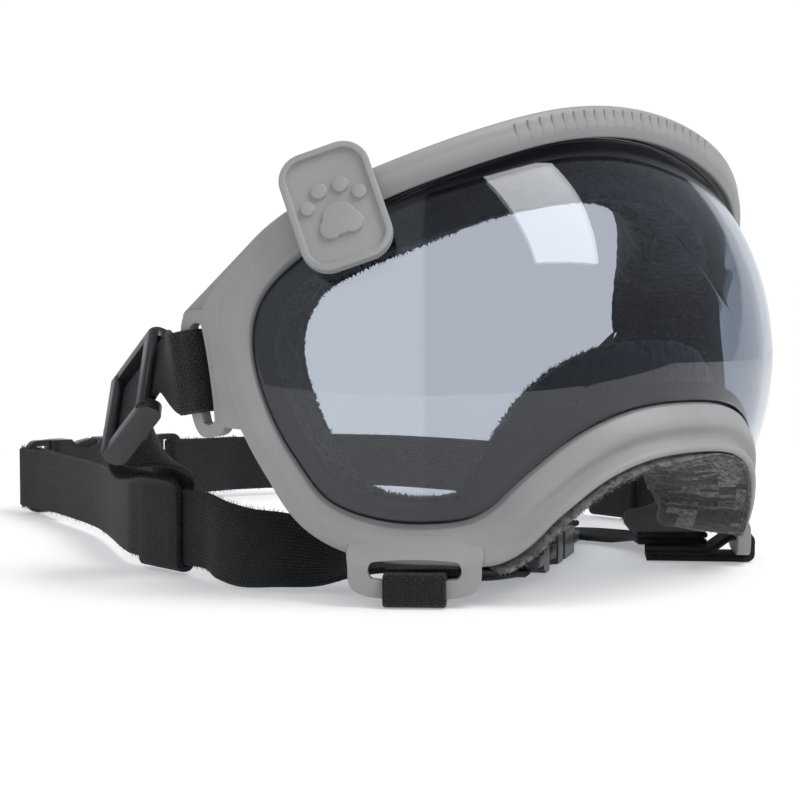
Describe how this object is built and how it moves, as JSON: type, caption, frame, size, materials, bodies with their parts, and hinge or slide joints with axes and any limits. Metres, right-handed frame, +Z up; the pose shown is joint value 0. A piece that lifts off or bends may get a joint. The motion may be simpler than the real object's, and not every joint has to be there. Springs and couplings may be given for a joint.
{
  "type": "dog goggles",
  "caption": "Wrap-round dog goggles: smoked visor in a flexible moulded frame with a foam liner, webbing straps, sliding adjusters and side-release buckles.",
  "frame": {"origin": "on the ground, under the visor, on the upright axis that the visor curves round and in its plane of symmetry", "axes": "+X across the face to the wearer's left, -Y forwards through the visor, +Z up"},
  "size_m": [0.2089, 0.2684, 0.1206],
  "materials": {
    "frame": "matte moulded TPU",
    "visor": "smoked polycarbonate",
    "fleece": "short fleece over foam",
    "badge": "matte",
    "webbing": "woven nylon webbing",
    "nylon": "satin moulded nylon"
  },
  "bodies": {
    "goggles": {"frame": "frame", "visor": "visor", "liner_brow": "fleece", "liner_cheek_r": "fleece", "liner_cheek_l": "fleece", "liner_nose": "fleece", "badge": "badge", "upper_strap_r": "webbing", "upper_strap_l": "webbing", "lower_loop_r": "webbing", "lower_loop_l": "webbing", "neck_strap_r": "webbing", "neck_strap_l": "webbing", "neck_socket": "nylon", "neck_plug": "nylon", "chin_strap_r": "webbing", "chin_strap_l": "webbing", "chin_socket": "nylon", "chin_plug": "nylon"},
    "upper_slider_r": {"upper_slider_r": "nylon"},
    "upper_slider_l": {"upper_slider_l": "nylon"},
    "neck_prong_top": {"neck_prong_top": "nylon"},
    "neck_prong_low": {"neck_prong_low": "nylon"},
    "chin_prong_front": {"chin_prong_front": "nylon"},
    "chin_prong_back": {"chin_prong_back": "nylon"}
  },
  "joints": [
    {"name": "upper_slide_r", "type": "slide", "parent": "goggles", "child": "upper_slider_r", "axis": [-0.03, 0.7911, -0.6109], "range_m": [-0.0015, 0.0015]},
    {"name": "upper_slide_l", "type": "slide", "parent": "goggles", "child": "upper_slider_l", "axis": [0.03, 0.7911, -0.6109], "range_m": [-0.0015, 0.0015]},
    {"name": "neck_release_top", "type": "hinge", "parent": "goggles", "child": "neck_prong_top", "pos_m": [-0.0017, 0.165, 0.0212], "axis": [0, -1, 0], "range_deg": [0, 8], "stiffness_Nm_per_rad": 0.06},
    {"name": "neck_release_low", "type": "hinge", "parent": "goggles", "child": "neck_prong_low", "pos_m": [-0.0017, 0.165, 0.004], "axis": [0, 1, 0], "range_deg": [0, 8], "stiffness_Nm_per_rad": 0.06},
    {"name": "chin_release_back", "type": "hinge", "parent": "goggles", "child": "chin_prong_back", "pos_m": [0.01144, -0.01473, 0.004], "axis": [0, 0, 1], "range_deg": [0, 8], "stiffness_Nm_per_rad": 0.06},
    {"name": "chin_release_front", "type": "hinge", "parent": "goggles", "child": "chin_prong_front", "pos_m": [0.02081, -0.02915, 0.004], "axis": [0, 0, -1], "range_deg": [0, 8], "stiffness_Nm_per_rad": 0.06}
  ]
}
